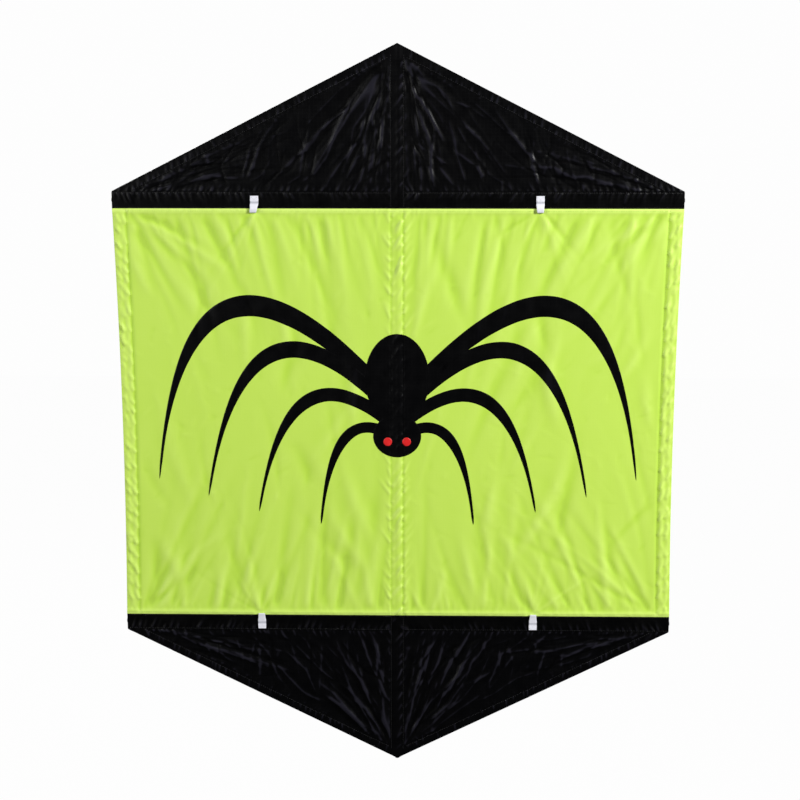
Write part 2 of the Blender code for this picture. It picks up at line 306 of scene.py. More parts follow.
def spine_puckers(rng):
    """The herringbone along the spine's two rows of stitches, and the ladder between them.

    It is flatter behind the figure, where the sail is sewn double.
    """
    layer = blank()
    end = NOSE - 15 * MM
    for low, high, strength in ((-end, -SEAM, 0.3), (-SEAM, SEAM, 1.0), (SEAM, end, 0.3)):
        for side in (-1, 1):
            row = (side * SPINE_ROW, low), (side * SPINE_ROW, high)
            puckers(layer, rng, *row, side, 17, 28, 2.9, 1.1 * strength, 60)
            puckers(layer, rng, *row, side, 12, 11, 2.4, 0.5 * strength, 42)
        inside = SPINE_ROW * 0.9
        puckers(layer, rng, (inside, low), (inside, high), -1, 15, 26, 3.0, 2.4 * strength, -60)
        puckers(layer, rng, (-inside, low), (-inside, high), 1, 17, 10, 2.6, 0.9 * strength, 50)
    sewn_on = np.exp(-(((GRID_Z - 28 * MM) / (98 * MM)) ** 8))
    return layer * (1 - 0.7 * sewn_on)


def row_puckers(rng):
    """The puckers at the seams, the sleeves and the slanted hems."""
    layer = blank()
    drop = SLANT_HEM * EDGE_LENGTH
    for side, level in product(BOTH, BOTH):
        inner, outer = side * SPINE_ROW, side * (HALF_WIDTH - 2 * MM)
        facing = -side * level
        sleeve, seam = (((inner, level * z), (outer, level * z)) for z in (SLEEVE_TOP, SEAM))
        hem = [(side * x, level * (slant_edge(x) - drop)) for x in (HALF_WIDTH - 30 * MM, 14 * MM)]
        puckers(layer, rng, *sleeve, facing, 8, 16, 2.8, 0.7, -24)
        puckers(layer, rng, *sleeve, -facing, 7.5, 21, 3.0, 1.0, -26)
        puckers(layer, rng, *seam, -facing, 8, 22, 3.4, 0.5, 8)
        puckers(layer, rng, *seam, -facing, 5, 7, 2.6, 0.4, 20)
        puckers(layer, rng, *hem, -facing, 8, 18, 2.8, 0.6, 20)
        puckers(layer, rng, *hem, facing, 8, 9, 2.8, 0.35, 10)
    return layer


def side_hem_relief(rng):
    """The two soft ropes of a side hem, which slanting puckers cut into beads."""
    inward = side_edge(GRID_Z) - np.abs(GRID_X)
    turn = 3 * np.sign(GRID_X)
    sway = sum(np.sin(GRID_Z * rate + rng.uniform(0, 6) + turn) for rate in (83, 171, 307)) * 0.9 * MM
    height = 0.5 * MM * np.exp(-(((inward - 4.6 * MM - sway) / (2.2 * MM)) ** 2))
    height += 0.6 * MM * np.exp(-(((inward - 12.2 * MM + sway) / (2.4 * MM)) ** 2))
    count = 5  # straight stretches that follow the curved side
    for side, k in product(BOTH, range(count)):
        low, high = (-SEAM + 2 * SEAM * (k + share) / count for share in (0, 1))
        edge = side_edge((low + high) / 2)
        for inset, out, tall, lean in ((17, 1, 1.7, 62), (9, 1, 1.5, 58), (3, -1, 1.1, -60)):
            x = side * (edge - inset * MM)
            puckers(height, rng, (x, low), (x, high), side * out, 21, 22, 3.2, tall, lean)
    height -= 0.8 * MM * np.exp(-(((inward - SIDE_HEM + 2 * MM) / (2.0 * MM)) ** 2))
    fade = smooth(inward / (1.5 * MM)) * smooth((SEAM - np.abs(GRID_Z)) / (6 * MM))
    inside = (np.abs(GRID_Z) < SEAM) & (inward > 0)
    return np.where(inside, height * fade, 0) * smooth((SIDE_HEM + 5 * MM - inward) / (4 * MM))


def spine_bulge(rng):
    """Where the spine's rod lifts the sail between its two rows of stitches."""
    rates = rng.uniform(20, 400, 9)
    wander = sum(np.sin(GRID_Z * rate + rng.uniform(0, 6)) for rate in rates) / 3
    middle = (1.2 + 0.7 * wander) * MM
    height = (0.6 + 0.2 * wander) * MM
    return height * np.exp(-(((GRID_X - middle) / (3.9 * MM)) ** 2))


def under_tapes():
    """1 where a bridle tape lies on the sail, which stays flat there, fading to 0 around it."""
    under = blank()
    for (_, row), (_, word) in product(LEVELS, SIDES):
        (low, high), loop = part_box(f"bridle_tab_{row}_{word}"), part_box(f"bridle_loop_{row}_{word}")
        bottom, top = min(low.z, loop[0].z), max(high.z, loop[1].z)
        beside = np.maximum(low.x - GRID_X, GRID_X - high.x)
        beyond = np.maximum(bottom - GRID_Z, GRID_Z - top)
        under = np.maximum(under, smooth((5 * MM - np.maximum(beside, beyond)) / (3 * MM)))
    return under


def build_relief():
    """How far the sail stands out to the front over the field, and that without the rod's bulge."""
    rng = np.random.default_rng(7)
    free = from_lines()
    soft = (0.4 + 0.6 * smooth(free / (22 * MM))) * smooth(free / (3 * MM))
    lime = np.abs(GRID_Z) < SEAM
    total = np.where(lime, long_folds(rng) + corner_folds(rng), end_panel_creases(rng)) * soft
    total += crinkles(rng) * smooth(free / (6 * MM))
    total += row_puckers(rng)
    beside_spine = smooth((np.abs(GRID_X) - 3 * MM) / (3 * MM))
    total = total * beside_spine + spine_puckers(rng)
    inward = side_edge(GRID_Z) - np.abs(GRID_X)
    in_hem = smooth((inward - SIDE_HEM + 3 * MM) / (3 * MM))
    total = np.where(lime, total * in_hem, total) + side_hem_relief(rng)
    beyond_seam = np.abs(GRID_Z) - SEAM
    total += 0.75 * MM * np.exp(-(((beyond_seam + 4.4 * MM) / (2.8 * MM)) ** 2))
    flat_strip = smooth((beyond_seam - 3 * MM) / (4 * MM))
    total = np.where(beyond_seam > 0, total * flat_strip, total)
    for row in (-SPINE_ROW, SPINE_ROW):
        total -= np.where(lime, 0.5, 0.15) * MM * np.exp(-(((GRID_X - row) / (1.2 * MM)) ** 2))
    at_cross = (np.abs(GRID_X) < 10 * MM) & (beyond_seam > -6 * MM) & (beyond_seam < 28 * MM)
    total = np.where(at_cross, np.maximum(total, -0.25 * MM), total)
    sail = np.clip(total + spine_bulge(rng), -1.6 * MM, 3.4 * MM)
    under = under_tapes()
    return sail * (1 - under) + np.minimum(sail, 0.1 * MM) * under, total


relief, creased = build_relief()


def sampled(field, x, z):
    """The field's value at points in X and Z."""
    u = np.clip((np.asarray(x) - FIELD_X[0]) / PITCH, 0, len(FIELD_X) - 1.001)
    v = np.clip((np.asarray(z) - FIELD_Z[0]) / PITCH, 0, len(FIELD_Z) - 1.001)
    i, j = u.astype(int), v.astype(int)
    s, t = u - i, v - j
    low = field[j, i] * (1 - s) + field[j, i + 1] * s
    high = field[j + 1, i] * (1 - s) + field[j + 1, i + 1] * s
    return low * (1 - t) + high * t


def stands(x, z):
    """How far the sail stands out to the front at points in X and Z."""
    return sampled(relief, x, z)


def blurred(field, radius):
    """The field averaged over a square window, three times over."""
    n = max(1, int(radius / PITCH))
    for _ in range(3):
        for axis in (0, 1):
            total = np.cumsum(np.insert(field, 0, 0, axis=axis), axis=axis)
            size = field.shape[axis]
            low = np.clip(np.arange(size) - n, 0, size)
            high = np.clip(np.arange(size) + n + 1, 0, size)
            shape = (-1, 1) if axis == 0 else (1, -1)
            field = (np.take(total, high, axis) - np.take(total, low, axis)) / (high - low).reshape(shape)
    return field


# Painted light: how far the cloth stands above its surroundings, which the materials turn into a painted
# highlight on ridges and painted shade in hollows. At the spine and the side hems the painted shade goes
# deeper.
gathered = (np.abs(GRID_X) < 11 * MM) | (side_edge(GRID_Z) - np.abs(GRID_X) < SIDE_HEM)
crests = np.clip((creased - blurred(creased, 9 * MM)) / (0.8 * MM), np.where(gathered, -2, -1), 1)
fine_crests = np.clip((creased - blurred(creased, 4 * MM)) / (0.55 * MM), -1, 1)
# less painted highlight and painted shade on the sleeves
fine_crests *= np.where(np.abs(GRID_Z) < SLEEVE_TOP, 0.55, 1)  # the sleeves lie flatter


# ---- materials


class Look:
    """A new material, with shorthand for its node tree."""

    def __init__(self, name, colour, roughness, metallic=0.0, specular=0.5, sheen=0.0):
        self.material = bpy.data.materials.new(name)
        self.material.use_nodes = True
        self.tree = self.material.node_tree
        self.inputs = self.tree.nodes["Principled BSDF"].inputs
        values = {"Base Color": (*colour, 1), "Roughness": roughness, "Metallic": metallic}
        values |= {"Specular IOR Level": specular, "Sheen Weight": sheen}
        for key, value in values.items():
            self.inputs[key].default_value = value
        self.place = self.new("TexCoord").outputs["Object"]

    def new(self, kind):
        return self.tree.nodes.new("ShaderNode" + kind)

    def link(self, value, socket):
        if isinstance(value, bpy.types.NodeSocket):
            self.tree.links.new(value, socket)
        else:
            socket.default_value = value

    def math(self, operation, *values):
        node = self.new("Math")
        node.operation = operation
        for value, socket in zip(values, node.inputs):
            self.link(value, socket)
        return node.outputs[0]

    def axis(self, letter):
        node = self.new("SeparateXYZ")
        self.link(self.place, node.inputs[0])
        return node.outputs[letter]

    def noise(self, scale, detail=2.0, stretch=(1, 1, 1)):
        mapping = self.new("Mapping")
        mapping.inputs["Scale"].default_value = stretch
        self.link(self.place, mapping.inputs["Vector"])
        node = self.new("TexNoise")
        node.inputs["Scale"].default_value = scale
        node.inputs["Detail"].default_value = detail
        self.link(mapping.outputs[0], node.inputs["Vector"])
        return node.outputs["Fac"]

    def value(self, name):
        node = self.new("Attribute")
        node.attribute_name = name
        return node.outputs["Fac"]

    def between(self, value, low, high, to_low=0.0, to_high=1.0):
        node = self.new("MapRange")
        for number, socket in zip((value, low, high, to_low, to_high), node.inputs):
            self.link(number, socket)
        return node.outputs[0]

    def mix(self, share, first, second):
        node = self.new("Mix")
        node.data_type = "RGBA"
        self.link(share, node.inputs["Factor"])
        for colour, socket in ((first, node.inputs["A"]), (second, node.inputs["B"])):
            self.link(colour if isinstance(colour, bpy.types.NodeSocket) else (*colour, 1), socket)
        return node.outputs["Result"]

    def stripes(self, letter, pitch, share):
        """1 on thin lines across an axis, 0 between them."""
        wave = self.math("PINGPONG", self.axis(letter), pitch / 2)
        return self.math("LESS_THAN", wave, pitch * share / 2)

    def bump(self, height, strength, distance):
        node = self.new("Bump")
        node.inputs["Strength"].default_value = strength
        node.inputs["Distance"].default_value = distance
        self.link(height, node.inputs["Height"])
        self.link(node.outputs[0], self.inputs["Normal"])

    def colour(self, value):
        self.link(value, self.inputs["Base Color"])

    def roughness(self, value):
        self.link(value, self.inputs["Roughness"])


def darker(colour, share):
    return tuple(part * share for part in colour)


def ripstop(name, cloth, painted_shade_and_tone, crest, doubled, roughness, specular, sheen, texture=0.35, sharp=0.1):
    """Thin coated nylon: a fine weave with stronger threads in a square grid.

    Its colour is painted lighter on the cloth's ridges and darker in its hollows, a painted highlight and
    painted shade by how the cloth stands, and is doubled where it is sewn double. Texture is the weave's
    strength, and sharp is how high a ridge must stand to get the painted highlight.
    """
    n = Look(name, cloth, roughness, 0.0, specular, sheen)
    # painted light: lift is how far the cloth stands above its surroundings
    lift = n.value("crest")
    colour = n.mix(n.value("double"), cloth, doubled)
    # painted shade in the hollows, deeper where the cloth is gathered
    colour = n.mix(n.between(lift, 0.05, -0.7), colour, painted_shade_and_tone)
    colour = n.mix(n.between(lift, -0.7, -1.8), colour, darker(painted_shade_and_tone, 0.62))
    # painted highlight on the ridges
    colour = n.mix(n.between(lift, sharp, 0.95), colour, crest)
    # random cloudy tone and the grid's threads use the same darker colour
    cloudy = n.between(n.noise(9, 3), 0.35, 0.65, 0.0, 0.10)
    colour = n.mix(cloudy, colour, painted_shade_and_tone)
    grid = n.math("MAXIMUM", n.stripes("X", 5 * MM, 0.1), n.stripes("Z", 5 * MM, 0.1))
    colour = n.mix(n.math("MULTIPLY", grid, 0.10), colour, painted_shade_and_tone)
    n.colour(colour)
    uneven = n.between(n.noise(60, 2), 0.3, 0.7, roughness - 0.05, roughness + 0.06)
    n.roughness(n.math("ADD", uneven, n.math("MULTIPLY", grid, 0.06)))
    weave = n.math("MULTIPLY", n.stripes("X", 0.5 * MM, 0.5), n.stripes("Z", 0.5 * MM, 0.5))
    height = n.math("ADD", n.math("MULTIPLY", weave, 0.25), grid)
    height = n.math("ADD", height, n.math("MULTIPLY", n.noise(420, 2), 0.9))
    n.bump(height, texture, 0.05 * MM)
    return n.material


def woven_tape(name):
    """White grosgrain: close ribs across the tape and a faint grubbiness, with a painted shade along the
    tape's fold and colour made darker towards the loop's end.
    """
    n = Look(name, (0.78, 0.78, 0.84), 0.72, 0.0, 0.3, 0.3)
    ribs = n.math("PINGPONG", n.axis("Z"), 0.35 * MM)
    shade = n.between(ribs, 0.0, 0.35 * MM, 0.0, 0.4)
    colour = n.mix(shade, (0.80, 0.80, 0.86), (0.62, 0.62, 0.69))
    # painted shade along the tape's fold, and darker towards the loop's end
    colour = n.mix(n.value("rubbed"), colour, (0.30, 0.31, 0.36))
    colour = n.mix(n.between(n.noise(300, 3), 0.4, 0.8, 0.0, 0.25), colour, (0.50, 0.50, 0.55))
    n.colour(colour)
    threads = n.math("MULTIPLY", n.stripes("X", 0.45 * MM, 0.5), 0.00008)
    n.bump(n.math("ADD", ribs, threads), 0.7, 0.25)
    return n.material


def thread(name, colour):
    """Twisted sewing thread."""
    n = Look(name, colour, 0.55, 0.0, 0.35, 0.2)
    twist = n.noise(2400, 1)
    n.colour(n.mix(n.between(twist, 0.3, 0.7), darker(colour, 0.75), colour))
    n.bump(twist, 0.4, 0.05 * MM)
    return n.material


def fibreglass(name, along):
    """Pultruded rod: fine streaks run along it."""
    n = Look(name, (0.03, 0.03, 0.032), 0.32)
    stretch = (12, 420, 420) if along == "X" else (420, 420, 12)
    streaks = n.noise(4, 4, stretch)
    n.colour(n.mix(n.between(streaks, 0.35, 0.7), (0.022, 0.022, 0.024), (0.06, 0.06, 0.064)))
    n.roughness(n.between(streaks, 0.3, 0.7, 0.26, 0.42))
    n.bump(streaks, 0.25, 0.06 * MM)
    return n.material


def moulded(name, colour, light, roughness, grain):
    """Moulded plastic or rubber with a spark-eroded grain and paler, rubbed patches."""
    n = Look(name, colour, roughness, 0.0, 0.4)
    rubbed = n.between(n.noise(160, 4), 0.5, 0.75)
    n.colour(n.mix(rubbed, colour, light))
    n.roughness(n.between(n.noise(500, 2), 0.3, 0.7, roughness - 0.07, roughness + 0.1))
    n.bump(n.noise(grain, 3), 0.5, 0.08 * MM)
    return n.material


def brushed_metal(name):
    """Drawn aluminium tube with fine rings from a lathe and light handling marks."""
    n = Look(name, (0.75, 0.76, 0.78), 0.3, 1.0)
    rings = n.noise(5, 3, (60, 60, 900))
    n.colour(n.mix(n.between(n.noise(90, 3), 0.4, 0.7), (0.78, 0.79, 0.81), (0.62, 0.63, 0.66)))
    n.roughness(n.between(rings, 0.3, 0.7, 0.22, 0.42))
    n.bump(rings, 0.3, 0.04 * MM)
    return n.material


# Each cloth's colours, in order: its own colour, a darker colour for painted shade in hollows and for its
# cloudy tone and grid threads, a lighter colour for painted highlight on ridges, and its colour where sewn
# double.
LIME = ripstop(
    "lime_ripstop", (0.495, 0.70, 0.092), (0.435, 0.655, 0.058), (0.55, 0.75, 0.13),
    (0.63, 0.82, 0.18), 0.5, 0.35, 0.05,
)
BLACK = ripstop(
    "black_ripstop", (0.0009, 0.0009, 0.0012), (0.0003, 0.0003, 0.0004), (0.012, 0.0115, 0.017),
    (0.0003, 0.0003, 0.0004), 0.34, 0.13, 0.0, 0.15, 0.2,
)
SHOW_THROUGH = ripstop(
    "black_through_lime", (0.012, 0.016, 0.005), (0.008, 0.011, 0.003), (0.02, 0.026, 0.008),
    (0.012, 0.016, 0.005), 0.5, 0.2, 0.0,
)
RED = ripstop(
    "red_ripstop", (0.62, 0.012, 0.012), (0.5, 0.008, 0.008), (0.7, 0.03, 0.03),
    (0.62, 0.012, 0.012), 0.45, 0.35, 0.05,
)
TAPE_LOOK = woven_tape("white_tape")
LIME_THREAD = thread("lime_thread", (0.34, 0.52, 0.05))
BLACK_THREAD = thread("black_thread", (0.006, 0.006, 0.007))
WHITE_THREAD = thread("white_thread", (0.62, 0.62, 0.66))


# ---- meshes


def new_piece(name, points, faces, material):
    mesh = bpy.data.meshes.new(name)
    mesh.from_pydata(points.reshape(-1, 3).tolist(), [], faces)
    mesh.shade_smooth()
    mesh.materials.append(material)
    piece = bpy.data.objects.new(name, mesh)
    bpy.context.scene.collection.objects.link(piece)
    return piece


def sheet_mesh(name, points, material, close_across=False, **values):
    """A smooth mesh through a grid of points, with named values at the points for its material."""
    rows, columns = points.shape[:2]
    index = np.arange(rows * columns).reshape(rows, columns)
    if close_across:
        index = np.concatenate([index, index[:, :1]], axis=1)
    faces = np.stack([index[:-1, :-1], index[:-1, 1:], index[1:, 1:], index[1:, :-1]], -1).reshape(-1, 4)
    piece = new_piece(name, points, faces.tolist(), material)
    for key, value in values.items():
        attribute = piece.data.attributes.new(key, "FLOAT", "POINT")
        values_there = np.broadcast_to(value, (rows, columns)).ravel().astype(np.float32)
        attribute.data.foreach_set("value", values_there)
    return piece


def settle(piece, slot, *nodes):
    """The piece rides on the kite's main body and stands for its CAD nodes."""
    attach(piece, ROOT)
    if nodes:
        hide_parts(*nodes)
    return piece


def cloth_slot(material):
    return "lime_ripstop" if material == LIME else "black_ripstop"


def joint(name):
    return next(j for j in frame["joints"] if j["name"] == name)


def remeshed(piece, change):
    """Changes a piece's mesh through bmesh."""
    shape = bmesh.new()
    shape.from_mesh(piece.data)
    change(shape)
    shape.to_mesh(piece.data)
    shape.free()


def steps(stops):
    """Positions from (place, spacing) stops: each stretch is divided evenly at about its spacing."""
    places = [stops[0][0]]
    for (low, pitch), (high, _) in zip(stops, stops[1:]):
        count = max(1, round((high - low) / pitch))
        places += [low + (high - low) * (k + 1) / count for k in range(count)]
    return np.array(places)


# ---- the sail

COLUMNS = steps([(-1.0, 0.0044), (-0.93, 0.0074), (-0.08, 0.0042), (0.08, 0.0074), (0.93, 0.0044), (1.0, 0)])
MIDDLE_ROWS = steps([(-1.0, 0.0056), (-0.95, 0.0076), (0.95, 0.0056), (1.0, 0)]) * SEAM
SHARES = steps([(0, 0.007), (0.2, 0.0095), (1.0, 0)])  # from a seam to the slanted edge


def doubled(x, z):
    """1 where the middle panel is sewn double: at its seams and its side hems."""
    seam = smooth((5.6 * MM - (SEAM - np.abs(z))) / (1.5 * MM))
    hem = smooth((SIDE_HEM - 1.5 * MM - (side_edge(z) - np.abs(x))) / (1 * MM))
    spine = smooth((SPINE_ROW - np.abs(x)) / (5 * MM))
    return np.maximum(np.maximum(seam, 0.25 * hem), 0.15 * spine)


def sail_panels():
    x = COLUMNS[None, :] * side_edge(MIDDLE_ROWS)[:, None]
    z = np.broadcast_to(MIDDLE_ROWS[:, None], x.shape)
    depth = SHEET_Y - stands(x, z)
    # painted highlight and painted shade from the relief, and the doubled cloth
    looks = {"crest": sampled(crests, x, z), "double": doubled(x, z)}
    middle = sheet_mesh("sail_middle", np.stack([x, depth, z], -1), LIME, **looks)
    made = [(middle, "middle_panel", "lime_ripstop", 2 * SEAM, None)]
    columns = np.sort(np.concatenate([COLUMNS, (COLUMNS[1:] + COLUMNS[:-1]) / 2]))
    x = np.broadcast_to(columns[None, :] * HALF_WIDTH, (len(SHARES), len(columns)))
    height = SEAM + SHARES[:, None] * (slant_edge(x) - SEAM)
    area = 2 * HALF_WIDTH * (TIP_TOP - SEAM) + HALF_WIDTH * (NOSE - TIP_TOP)
    for name, node, level in (("sail_top", "top_panel", 1), ("sail_bottom", "bottom_panel", -1)):
        z = height * level
        points = np.stack([x, SHEET_Y - stands(x, z), z], -1)[::level]
        sleeve = np.broadcast_to(smooth((SLEEVE_TOP - height) / (2 * MM)), x.shape)
        # the black panels' painted highlight and painted shade, from the finer relief
        looks = {"crest": sampled(fine_crests, x, z)[::level], "double": sleeve[::level]}
        made.append((sheet_mesh(name, points, BLACK, **looks), node, "black_ripstop", NOSE - SEAM, area))
    for piece, node, slot, length, area in made:
        settle(piece, slot, node)
    return depth


MIDDLE_DEPTH = sail_panels()


def on_sail(x, z):
    """The depth of the middle panel's mesh at points in X and Z."""
    v = np.interp(z, MIDDLE_ROWS, np.arange(len(MIDDLE_ROWS)))
    u = np.interp(x / side_edge(z), COLUMNS, np.arange(len(COLUMNS)))
    i, j = np.minimum(u.astype(int), len(COLUMNS) - 2), np.minimum(v.astype(int), len(MIDDLE_ROWS) - 2)
    s, t = u - i, v - j
    low = MIDDLE_DEPTH[j, i] * (1 - s) + MIDDLE_DEPTH[j, i + 1] * s
    high = MIDDLE_DEPTH[j + 1, i] * (1 - s) + MIDDLE_DEPTH[j + 1, i + 1] * s
    return low * (1 - t) + high * t


# ---- hems and tip patches

BACK_FOLLOWS = 0.8  # how much of the sail's relief the cloth behind it shows


def hem(name, node, edge, inward, width, material, limit=None):
    """Cloth turned back at an edge of the sail: it wraps round the edge and lies flat behind.

    The edge and inward are rows of X and Z, and limit keeps the flat part inside its own space.
    """
    flat = np.linspace(1.2 * MM, width - 0.6 * MM, 9)
    round_edge = np.array((0, -0.30, -0.42, -0.25, 0.4)) * MM
    distance = np.concatenate([round_edge, flat, (width, width - 0.4 * MM)])
    lift = np.concatenate([(0, 0.12, 0.42, 0.68, 0.75), np.full(len(flat), 0.75), (0.72, 0.5)]) * MM
    share = np.concatenate([(0, 0, 0.3, 0.8, 1), np.ones(len(flat) + 2)])
    spots = edge[:, None, :] + inward[:, None, :] * distance[None, :, None]
    if limit:
        spots = limit(spots, distance)
    x, z = spots[..., 0], spots[..., 1]
    front = stands(edge[:, 0], edge[:, 1])[:, None]
    run = np.arange(len(edge))[:, None]
    waves = 0.10 * MM * np.sin(run * 0.55 + 2 * np.sin(run * 0.13)) * smooth(distance / width)
    depth = SHEET_Y - (1 - share) * front - share * BACK_FOLLOWS * stands(x, z) + lift + waves
    piece = sheet_mesh(name, np.stack([x, depth, z], -1), material, crest=0.0, double=0.7)
    return settle(piece, cloth_slot(material), node)


def hems():
    for side, word in SIDES:
        edge = np.stack([side * side_edge(MIDDLE_ROWS), MIDDLE_ROWS], -1)
        inward = np.broadcast_to((-float(side), 0.0), edge.shape)
        hem(f"turned_side_{word}", f"side_hem_{word}", edge, inward, SIDE_HEM, LIME)
        x = COLUMNS[COLUMNS >= 0] * HALF_WIDTH
        for level, end in ((1, "nose"), (-1, "tail")):

            def limit(spots, distance, side=side, level=level):
                spots[..., 0] = np.where(spots[..., 0] * side < 0.15 * MM, side * 0.15 * MM, spots[..., 0])
                inside = (distance[None, :] > 0) & (spots[..., 1] * level < TIP_TOP)
                spots[..., 1] = np.where(inside, level * TIP_TOP, spots[..., 1])
                return spots

            edge = np.stack([side * x, level * slant_edge(x)], -1)
            inward = np.broadcast_to(np.array((-side * EDGE_SLOPE, -level)) / EDGE_LENGTH, edge.shape)
            hem(f"turned_{end}_{word}", f"{end}_hem_{word}", edge, inward, SLANT_HEM, BLACK, limit)
        for level, row in LEVELS:
            z = level * np.linspace(SEAM + 0.3 * MM, TIP_TOP - 0.6 * MM, 16)
            edge = np.stack([np.full_like(z, side * HALF_WIDTH), z], -1)
            inward = np.broadcast_to((-float(side), 0.0), edge.shape)
            low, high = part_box(f"tip_patch_{row}_{word}")
            hem(f"tip_facing_{row}_{word}", f"tip_patch_{row}_{word}", edge, inward, high.x - low.x, BLACK)


hems()

# ---- sleeves and pockets


def rippling(seed, count=14):
    """A smooth random ripple of two lengths, between about -1 and 1."""
    rng = np.random.default_rng(seed)
    terms = [(rng.uniform(60, 700), rng.uniform(-260, 260), rng.uniform(0, 6.3)) for _ in range(count)]
    return lambda along, round_it: sum(np.sin(a * along + b * round_it + c) for a, b, c in terms) / count**0.5


def sleeve(name, node, start, end, width, bore, base, material, seed, shut=0.0):
    """Cloth sewn down along both edges and arched over a rod, closed over its last stretch if shut.

    Start and end are on the rod's axis, and bore is the arch's inner radius.
    """
    start, end = np.array(start, float), np.array(end, float)
    length = np.linalg.norm(end - start)
    along = np.linspace(0, 1, max(12, int(length / (2.2 * MM))))
    if shut:
        closing = 1 - shut / length * np.cos(np.linspace(0, 1.5, 7))
        along = np.concatenate([along[along < 1 - shut / length], closing])
    centre = start + (end - start) * along[:, None]
    way = (end - start) / length
    across = np.array((-way[2], 0, way[0]))
    across /= np.linalg.norm(across)
    foot = min(width / 2 - 3 * MM, bore + 3.5 * MM)
    turns = np.radians(np.linspace(180, 0, 17))
    side = np.concatenate([(-width / 2, -width / 2 + 1 * MM, -foot), bore * np.cos(turns)])
    side = np.concatenate([side, (foot, width / 2 - 1 * MM, width / 2)])
    is_arch = np.concatenate([(0, 0, 0), np.ones(len(turns)), (0, 0, 0)])
    rise = np.concatenate([(0, 0, 0), np.sin(turns), (0, 0, 0)])
    x = centre[:, 0, None] + across[0] * side
    z = centre[:, 2, None] + across[2] * side
    flat = base - BACK_FOLLOWS * stands(x, z)
    ripple = rippling(seed)(along[:, None] * length, side[None, :])
    arch = centre[:, 1, None] + (bore + 0.35 * MM * np.maximum(ripple, -0.3) * rise) * rise
    if shut:
        over = np.clip((along - (1 - shut / length)) / (shut / length), 0, 1)[:, None]
        arch = flat + (arch - flat) * np.sqrt(np.clip(1 - over**2, 0, 1))
    depth = np.where(is_arch > 0, np.maximum(arch, flat), flat + 0.12 * MM * ripple)
    # the ripple also gives the sleeve a faint painted highlight and painted shade
    piece = sheet_mesh(name, np.stack([x, depth, z], -1), material, crest=0.25 * ripple, double=0.25)
    wall = piece.modifiers.new("cloth", "SOLIDIFY")
    wall.thickness = 0.3 * MM
    wall.offset = 1.0
    return settle(piece, cloth_slot(material), node)


def sleeves():
    spine_y = (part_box("spine_rod_upper")[0].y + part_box("spine_rod_upper")[1].y) / 2
    channels = (
        ("spine_channel_top", "spine_sleeve_top", BLACK, 20, 0.0),
        ("spine_channel_middle", "spine_sleeve_middle", LIME, 21, 0.0),
        ("spine_channel_bottom", "spine_sleeve_bottom", BLACK, 22, 0.0),
        ("nose_cup", "nose_pocket", BLACK, 30, 1.4 * MM),
        ("tail_cup", "tail_pocket", BLACK, 31, 0.0),
    )
    for name, node, material, seed, closing in channels:
        low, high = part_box(node)
        ends = ((0, spine_y, low.z), (0, spine_y, high.z))[:: -1 if node == "tail_pocket" else 1]
        bore = high.y - spine_y - 0.3 * MM
        sleeve(name, node, *ends, high.x - low.x, bore, OVER_HEM_Y, material, seed, closing)
    for (seed, (_, row)), (side, word) in product(enumerate(LEVELS), SIDES):
        node = f"spreader_sleeve_{row}_{word}"
        low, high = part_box(node)
        axis = joint(f"spreader_{row}_{word}_slide")["axis"]
        inner, outer = sorted((abs(low.x), abs(high.x)))
        rise = axis[1] / abs(axis[0]) * (outer - inner)
        bore = 2.5 * MM
        middle_z = (low.z + high.z) / 2
        deep = high.y - bore - 0.3 * MM
        ends = ((side * inner, deep, middle_z), (side * outer, deep + rise, middle_z))
        args = (high.z - low.z, bore, HEM_Y, BLACK, 40 + 2 * seed + side)
        sleeve(f"spreader_channel_{row}_{word}", node, *ends, *args)


sleeves()

# ---- bridle tapes


def tape_line(tab_reach, reach, tab_box, loop_box, layer):
    """The folded tape's centre line in depth and reach, from the tab's outer end to the loop and back."""
    back, front = tab_box[1].y - layer / 2, tab_box[0].y + layer / 2
    eye = min((loop_box[1].y - loop_box[0].y) / 2, 1.7 * MM)
    centre = (loop_box[0].y + eye, reach - eye)
    turn = eye - layer / 2
    line = [(back, t) for t in np.linspace(0.1 * MM, tab_reach + 1.3 * MM, 12)]
    line += [(centre[0] + turn * 0.97, t) for t in np.linspace(tab_reach + 4 * MM, centre[1], 4)]
    for angle in np.radians(np.linspace(12, 168, 12)):
        line.append((centre[0] + turn * math.cos(angle), centre[1] + turn * math.sin(angle)))
    line += [(centre[0] - turn, centre[1]), (centre[0] - turn * 0.8, centre[1] - 3.4 * MM)]
    line += [(front - 0.45 * MM, tab_reach + 1.7 * MM), (front, tab_reach - 0.4 * MM)]
    line += [(front, t) for t in np.linspace(tab_reach - 1.4 * MM, 0.1 * MM, 9)]
    line = np.array(line)
    for _ in range(2):
        cut = [a * (1 - t) + b * t for a, b in zip(line, line[1:]) for t in (0.25, 0.75)]
        line = np.array([line[0], *cut, line[-1]])
    return line


def closed_ends(shape):
    bmesh.ops.holes_fill(shape, edges=shape.edges, sides=0)
    bmesh.ops.recalc_face_normals(shape, faces=shape.faces)


